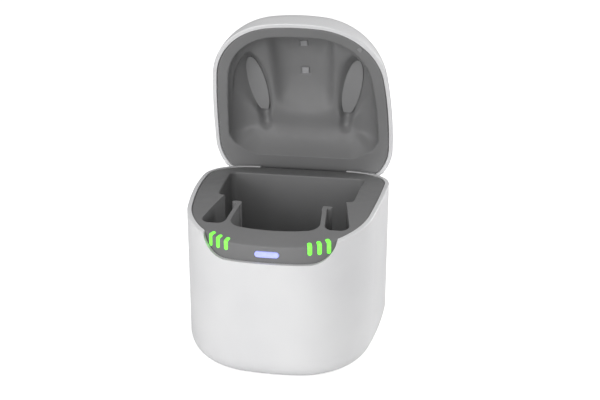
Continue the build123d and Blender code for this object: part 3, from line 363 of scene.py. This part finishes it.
def even_copy(name, sources, voxel):
    """Closed mesh of even quads round copies of some CAD nodes."""
    joined = bmesh.new()
    for source in sources:
        joined.from_mesh(nodes[source].data)
    bmesh.ops.remove_doubles(joined, verts=joined.verts, dist=1e-6)
    mesh = bpy.data.meshes.new(name)
    joined.to_mesh(mesh)
    joined.free()
    piece = bpy.data.objects.new(name, mesh)
    bpy.context.scene.collection.objects.link(piece)
    remesh = piece.modifiers.new("even_quads", "REMESH")
    remesh.mode = "VOXEL"
    remesh.voxel_size = voxel
    bpy.context.view_layer.update()
    worked = piece.evaluated_get(bpy.context.evaluated_depsgraph_get())
    even = bpy.data.meshes.new_from_object(worked)
    piece.modifiers.remove(remesh)
    piece.data = even
    return piece


def smooth_step(value, low, high):
    """0 below low, 1 above high, and a smooth rise between."""
    part = np.clip((value - low) / (high - low), 0, 1)
    return part * part * (3 - 2 * part)


def rise_above_rim(points):
    """Height of each point over the rim's drum."""
    return np.hypot(points[:, 1] - RIM_AXIS[0], points[:, 2] - RIM_AXIS[1]) - RIM_RADIUS


def lean_rear_wall(points):
    """Replace the steep rear wall of the bowl by one that leans back, with a fuller round."""
    across = np.abs(points[:, 0]) - BOWL_CORNER[0]
    along = points[:, 1] - BOWL_CORNER[1]
    inside = np.where(across > 0, BOWL_CORNER_R - np.hypot(across, along), BOWL_REAR - points[:, 1])
    turn = np.where(across > 0, np.degrees(np.arctan2(along, np.maximum(across, 1e-9))), 90)
    rise = rise_above_rim(points)
    part = np.clip(inside / WALL_LEAN_L, 0, 1)
    slope = WALL_LEAN_SLOPE
    curve = slope * part + (3 - 2 * slope) * part**2 + (slope - 2) * part**3
    wanted = BAND_RISE + (BOWL_RISE - BAND_RISE) * curve
    round_middle = BOWL_RISE - BOWL_ROUND
    from_round = np.hypot(BOWL_ROUND - inside, rise - round_middle) - BOWL_ROUND
    on_round = (inside < BOWL_ROUND) & (np.abs(from_round) < WALL_MATCH) & (inside > -0.0005)
    on_ceiling = (inside >= BOWL_ROUND) & (inside < WALL_LEAN_L) & (rise > BOWL_RISE - 0.0015)
    drop = np.where(on_round, rise - wanted, np.where(on_ceiling, BOWL_RISE - wanted, 0))
    drop = np.maximum(drop, 0) * smooth_step(turn, 10, 60) * (rise > BAND_RISE + 0.0002)
    points[:, 2] -= drop


def open_rear_corners(points):
    """Push the bowl's rear corners inwards until their plan is one broad round."""
    across = np.abs(points[:, 0]) - OPEN_CORNER[0]
    along = points[:, 1] - OPEN_CORNER[1]
    reach = np.hypot(across, along)
    unit_x = across / np.maximum(reach, 1e-9)
    unit_y = along / np.maximum(reach, 1e-9)
    shift_x = BOWL_CORNER[0] - OPEN_CORNER[0]
    shift_y = BOWL_CORNER[1] - OPEN_CORNER[1]
    ahead = unit_x * shift_x + unit_y * shift_y
    side = shift_x**2 + shift_y**2 - BOWL_CORNER_R**2
    wall = ahead + np.sqrt(np.maximum(ahead**2 - side, 0))
    in_corner = (across > 0) & (along > 0)
    push = np.where(in_corner, np.maximum(wall - OPEN_CORNER_R, 0), 0)
    push *= smooth_step(reach, 0.003, 0.012) * (1 - smooth_step(reach - wall, 0.0022, 0.0052))
    points[:, 0] -= np.sign(points[:, 0]) * push * unit_x
    points[:, 1] -= push * unit_y


def from_groove(points):
    """Distance from each point to the middle line of the groove on its side, seen in plan."""
    start, end = np.array(GROOVE_LINE)
    run = end - start
    plan = np.column_stack((np.abs(points[:, 0]), points[:, 1])) - start
    part = np.clip(plan @ run / (run @ run), 0, 1)
    return np.hypot(*(plan - np.outer(part, run)).T)


def deepen_grooves(points):
    """Sink a round-bottomed groove behind each pad."""
    part = np.clip(1 - (from_groove(points) / GROOVE_REACH) ** 2, 0, 1)
    points[:, 2] += GROOVE_SINK * part * smooth_step(rise_above_rim(points), 0.004, 0.007)


def softness(points):
    """How strongly each point is relaxed: 0 on the rim band and windows, 1 in the valley."""
    side = np.abs(points[:, 0])
    along = points[:, 1]
    off_x, off_y = side - PAD_SPOT[0], along - PAD_SPOT[1]
    down = (off_x * PAD_LONG[0] + off_y * PAD_LONG[1]) / PAD_HALF[0]
    over = (off_x * PAD_LONG[1] - off_y * PAD_LONG[0]) / PAD_HALF[1]
    off_pad = smooth_step(np.hypot(down, over), *PAD_FADE)
    off_groove = smooth_step(from_groove(points), *GROOVE_FADE)
    valley = 1 - smooth_step(side, *VALLEY_SIDE_FADE)
    valley *= 1 - smooth_step(along, *VALLEY_REAR_FADE)
    soft = BOWL_SOFTNESS + (1 - BOWL_SOFTNESS) * valley
    soft *= PAD_SOFTNESS + (1 - PAD_SOFTNESS) * off_pad
    soft *= GROOVE_SOFTNESS + (1 - GROOVE_SOFTNESS) * off_groove
    for spot_y, spot_z, _ in WINDOW_SPOTS:
        reach = np.hypot(np.hypot(points[:, 0], along - spot_y), points[:, 2] - spot_z)
        soft *= smooth_step(reach, *WINDOW_FADE)
    return soft * smooth_step(rise_above_rim(points), *RISE_FADE)


def relax(points, pairs, strength, rounds):
    """Move each point towards the middle of its neighbours, a little in each round."""
    first, second = pairs.T
    size = len(points)
    count = np.bincount(first, minlength=size) + np.bincount(second, minlength=size)
    for _ in range(rounds):
        for axis in range(3):
            value = points[:, axis]
            total = np.bincount(first, value[second], size) + np.bincount(second, value[first], size)
            points[:, axis] += strength * (total / count - value)


def sink_round_windows(points):
    """Sink the lining in a square round each window, so that the window stands in a moat."""
    for spot_y, spot_z, tilt in WINDOW_SPOTS:
        tilt = math.radians(tilt)
        out = np.array((0, -math.sin(tilt), math.cos(tilt)))
        ahead = np.array((0, math.cos(tilt), math.sin(tilt)))
        from_spot = points - np.array((0, spot_y, spot_z))
        depth = from_spot @ out
        near = (np.abs(from_spot[:, 0]) < WINDOW_MOAT) & (np.abs(from_spot @ ahead) < WINDOW_MOAT)
        push = np.where(near & (depth < WINDOW_SINK), WINDOW_SINK - depth, 0)
        points += np.outer(push, out)


def soft_lining():
    """Lid lining with a leaning rear wall, open corners and relaxed creases."""
    piece = even_copy("soft_lining", ("lid_liner", "uv_window_front", "uv_window_rear"), LINING_VOXEL)
    shut = shut_lid()
    piece.data.transform(shut)
    points = np.empty(3 * len(piece.data.vertices))
    piece.data.vertices.foreach_get("co", points)
    points = points.reshape(-1, 3)
    pairs = np.empty(2 * len(piece.data.edges), dtype=np.int32)
    piece.data.edges.foreach_get("vertices", pairs)
    lean_rear_wall(points)
    open_rear_corners(points)
    deepen_grooves(points)
    relax(points, pairs.reshape(-1, 2), RELAX_STEP * softness(points), RELAX_ROUNDS)
    sink_round_windows(points)
    piece.data.vertices.foreach_set("co", points.ravel())
    piece.data.transform(shut.inverted())
    piece.data.shade_smooth()
    piece.data.materials.clear()
    piece.data.materials.append(tray_grey)
    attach(piece, "lid")
    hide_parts("lid_liner")
    return piece


lining = soft_lining()
print("soft lining has", len(lining.data.polygons), "quads")

# %% [markdown]
# ## Lit pieces
#
# The light bars and the button are frosted light guides with lamps behind them.  Frosted
# plastic glows unevenly, so the glow's colour follows a soft noise between two near
# shades, while its strength stays one number on the shader.  The UV windows get the same
# finish with a faint painted glow, which lightens their faces as falling light would; the
# UV lamps behind them give no visible light.

# %% Lit pieces
def glowing(name, deep, bright, strength):
    """Frosted light guide that glows between two shades; on the UV windows the faint glow is painted
    light.
    """
    finish = Finish(name, roughness=0.35, Emission_Strength=strength)
    cloudy = finish.ramp(finish.noise(0.0016), [(0.3, deep), (0.7, bright)])
    finish.feed(cloudy, "Base Color")
    finish.feed(cloudy, "Emission Color")
    finish.bump(finish.noise(0.0004), 0.00001, 0.3)
    return finish.material


light_bars = [name for name in nodes if name.startswith("light_bar")]
dress(glowing("green_light", (0.16, 0.92, 0.06), (0.24, 1.0, 0.10), 0.75), *light_bars)
dress(glowing("button_light", (0.42, 0.46, 1.0), (0.48, 0.52, 1.0), 0.34), "start_button")
# faint painted glow on the UV windows: it stands in for the light falling on their faces
window_frost_painted_glow = glowing("window_frost_painted_glow", (0.30, 0.30, 0.31), (0.36, 0.36, 0.37), 0.02)
dress(window_frost_painted_glow, "uv_window_front", "uv_window_rear")
print(len(light_bars), "light bars glow")

# %% [markdown]
# ## Rubber, metal and the parts inside
#
# Little of this shows, but it does when the object is turned over or opened.  Rubber is
# dark and matt with a coarse mottling, and metal is shiny with a fine brushed streak.

# %% Rubber and metal
def rubber():
    """Black rubber with a mottled, dusty look."""
    finish = Finish("pad_rubber_black", roughness=0.8)
    mottling = [(0.3, (0.02, 0.02, 0.02)), (0.7, (0.045, 0.045, 0.045))]
    finish.feed(finish.ramp(finish.noise(0.003), mottling), "Base Color")
    finish.bump(finish.noise(0.0006), 0.00003, 0.5)
    return finish.material


def metal(name, dark, light, rough=0.3):
    """Brushed metal whose streaks run across."""
    finish = Finish(name, roughness=rough, Metallic=1.0)
    streaks = finish.noise(0.0008, 4.0, (0.08, 1, 1))
    finish.feed(finish.ramp(streaks, [(0.3, dark), (0.7, light)]), "Base Color")
    finish.feed(finish.spread(streaks, rough - 0.08, rough + 0.1), "Roughness")
    finish.bump(streaks, 0.000006, 0.3)
    return finish.material


def board(name, dark, light):
    """Varnished laminate over copper tracks, whose edges show as low ridges."""
    finish = Finish(name, roughness=0.35, Coat_Weight=0.4, Coat_Roughness=0.1)
    tracks = finish.cells(0.004)
    finish.feed(finish.ramp(tracks, [(0.28, dark), (0.34, light)]), "Base Color")
    finish.bump(tracks, 0.00003, 0.4)
    return finish.material


dress(rubber(), "base_pad")
steel = metal("steel", (0.45, 0.45, 0.46), (0.62, 0.62, 0.63))
dress(steel, "tray_screws", "board_screws", "leaf_screws", "hinge_pin", "power_socket", "lid_magnet")
dress(metal("spreader_aluminium", (0.60, 0.60, 0.61), (0.74, 0.74, 0.75)), "heat_spreader")
copper = metal("coil_copper", (0.50, 0.22, 0.10), (0.72, 0.36, 0.18))
dress(copper, "charging_coil_left", "charging_coil_right")
green_board = board("circuit_board", (0.012, 0.11, 0.04), (0.03, 0.20, 0.08))
dress(green_board, "main_board", "indicator_strip", "uv_board_front", "uv_board_rear")
amber_film = board("amber_film", (0.34, 0.14, 0.02), (0.46, 0.22, 0.04))
dress(amber_film, "heater_film", "heater_ribbon", "indicator_ribbon")
chip_black = grey_plastic("chip_black", (0.012, 0.012, 0.012), (0.02, 0.02, 0.02), 0.45)
dress(chip_black, "board_components", "start_switch", "lid_sensor", "temperature_sensor")
dress(glowing("led_clear", (0.6, 0.7, 0.5), (0.75, 0.8, 0.65), 0.1), "indicator_leds")
